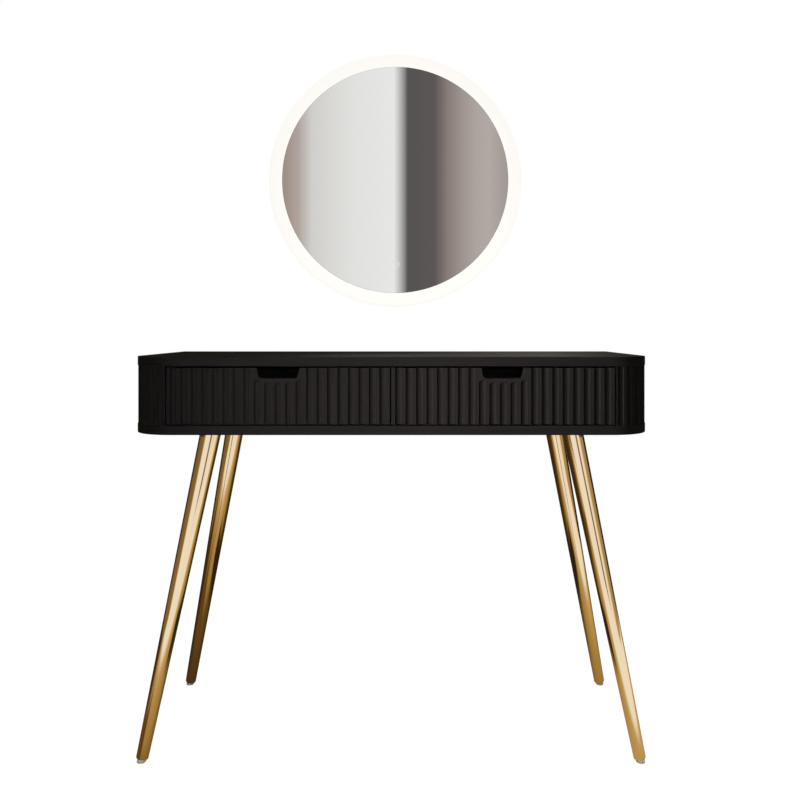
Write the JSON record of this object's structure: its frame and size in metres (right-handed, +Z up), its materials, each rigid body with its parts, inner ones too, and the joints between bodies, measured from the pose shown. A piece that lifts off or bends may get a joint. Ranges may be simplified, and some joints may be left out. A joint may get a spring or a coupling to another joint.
{
  "type": "vanity table with mirror",
  "caption": "Black vanity table with fluted drawers and rounded front corners on splayed gold conical legs, with a round lit mirror hung on the wall behind it.",
  "frame": {"origin": "on the floor, under the middle of the whole object's box", "axes": "+X to the sitter's right, the front faces -Y, +Z up; the wall behind is the plane of the wall rail's back"},
  "size_m": [1, 0.435, 1.484],
  "materials": {
    "black_board": "matt black decor board with a faint wood grain",
    "edge_band": "matt black plastic edging",
    "fluted_black": "milled fibreboard with a matt black foil",
    "thin_board": "thin black-faced hardboard",
    "drawer_board": "graphite melamine-faced board",
    "gold_metal": "polished gold-coloured plated steel",
    "nylon": "milky nylon",
    "zinc_steel": "bright zinc plate",
    "dowel_wood": "fluted beech",
    "mirror_silver": "silvered glass",
    "opal_cover": "opal acrylic, lit from inside",
    "white_metal": "white powder coat",
    "white_plastic": "white plastic",
    "sensor_board": "green solder mask",
    "rubber": "black rubber"
  },
  "bodies": {
    "table": {"back_panel": "thin_board", "bottom_edge_band": "edge_band", "bottom_panel": "black_board", "cam_bolts": "zinc_steel", "cam_locks": "zinc_steel", "carcass_confirmats": "zinc_steel", "carcass_dowels": "dowel_wood", "centre_divider": "black_board", "front_left_glide": "nylon", "front_left_leg": "gold_metal", "front_left_leg_plate": "gold_metal", "front_right_glide": "nylon", "front_right_leg": "gold_metal", "front_right_leg_plate": "gold_metal", "left_cabinet_rails": "zinc_steel", "left_fluted_side": "fluted_black", "left_inner_side": "black_board", "leg_plate_screws": "zinc_steel", "rear_left_glide": "nylon", "rear_left_leg": "gold_metal", "rear_left_leg_plate": "gold_metal", "rear_right_glide": "nylon", "rear_right_leg": "gold_metal", "rear_right_leg_plate": "gold_metal", "right_cabinet_rails": "zinc_steel", "right_fluted_side": "fluted_black", "right_inner_side": "black_board", "slide_screws": "zinc_steel", "top_edge_band": "edge_band", "top_panel": "black_board", "wall_rail": "zinc_steel"},
    "left_drawer": {"left_drawer_back": "drawer_board", "left_drawer_bottom": "thin_board", "left_drawer_cams": "zinc_steel", "left_drawer_front": "fluted_black", "left_drawer_inner_side": "drawer_board", "left_drawer_outer_side": "drawer_board", "left_drawer_rails": "zinc_steel", "left_drawer_screws": "zinc_steel"},
    "right_drawer": {"right_drawer_back": "drawer_board", "right_drawer_bottom": "thin_board", "right_drawer_cams": "zinc_steel", "right_drawer_front": "fluted_black", "right_drawer_inner_side": "drawer_board", "right_drawer_outer_side": "drawer_board", "right_drawer_rails": "zinc_steel", "right_drawer_screws": "zinc_steel"},
    "left_slide_middles": {"left_middle_rails": "zinc_steel"},
    "right_slide_middles": {"right_middle_rails": "zinc_steel"},
    "mirror": {"cable_grommet": "rubber", "diffuser_ring": "opal_cover", "hanger_rail": "zinc_steel", "hanger_rivets": "zinc_steel", "light_driver": "white_plastic", "light_strip": "white_plastic", "mirror_chassis": "white_metal", "mirror_glass": "mirror_silver", "touch_sensor": "sensor_board", "wall_bumpers": "rubber"}
  },
  "joints": [
    {"name": "left_drawer_slide", "type": "slide", "parent": "table", "child": "left_drawer", "axis": [0, -1, 0], "range_m": [0, 0.3]},
    {"name": "right_drawer_slide", "type": "slide", "parent": "table", "child": "right_drawer", "axis": [0, -1, 0], "range_m": [0, 0.3]},
    {"name": "left_slide_run", "type": "slide", "parent": "table", "child": "left_slide_middles", "axis": [0, -1, 0], "range_m": [0, 0.15]},
    {"name": "right_slide_run", "type": "slide", "parent": "table", "child": "right_slide_middles", "axis": [0, -1, 0], "range_m": [0, 0.15]},
    {"name": "mirror_lift", "type": "slide", "parent": "table", "child": "mirror", "axis": [0, 0, 1], "range_m": [0, 0.014]}
  ],
  "couplings": [
    {"joint": "left_slide_run", "follows": "left_drawer_slide", "ratio": 0.5},
    {"joint": "right_slide_run", "follows": "right_drawer_slide", "ratio": 0.5}
  ]
}
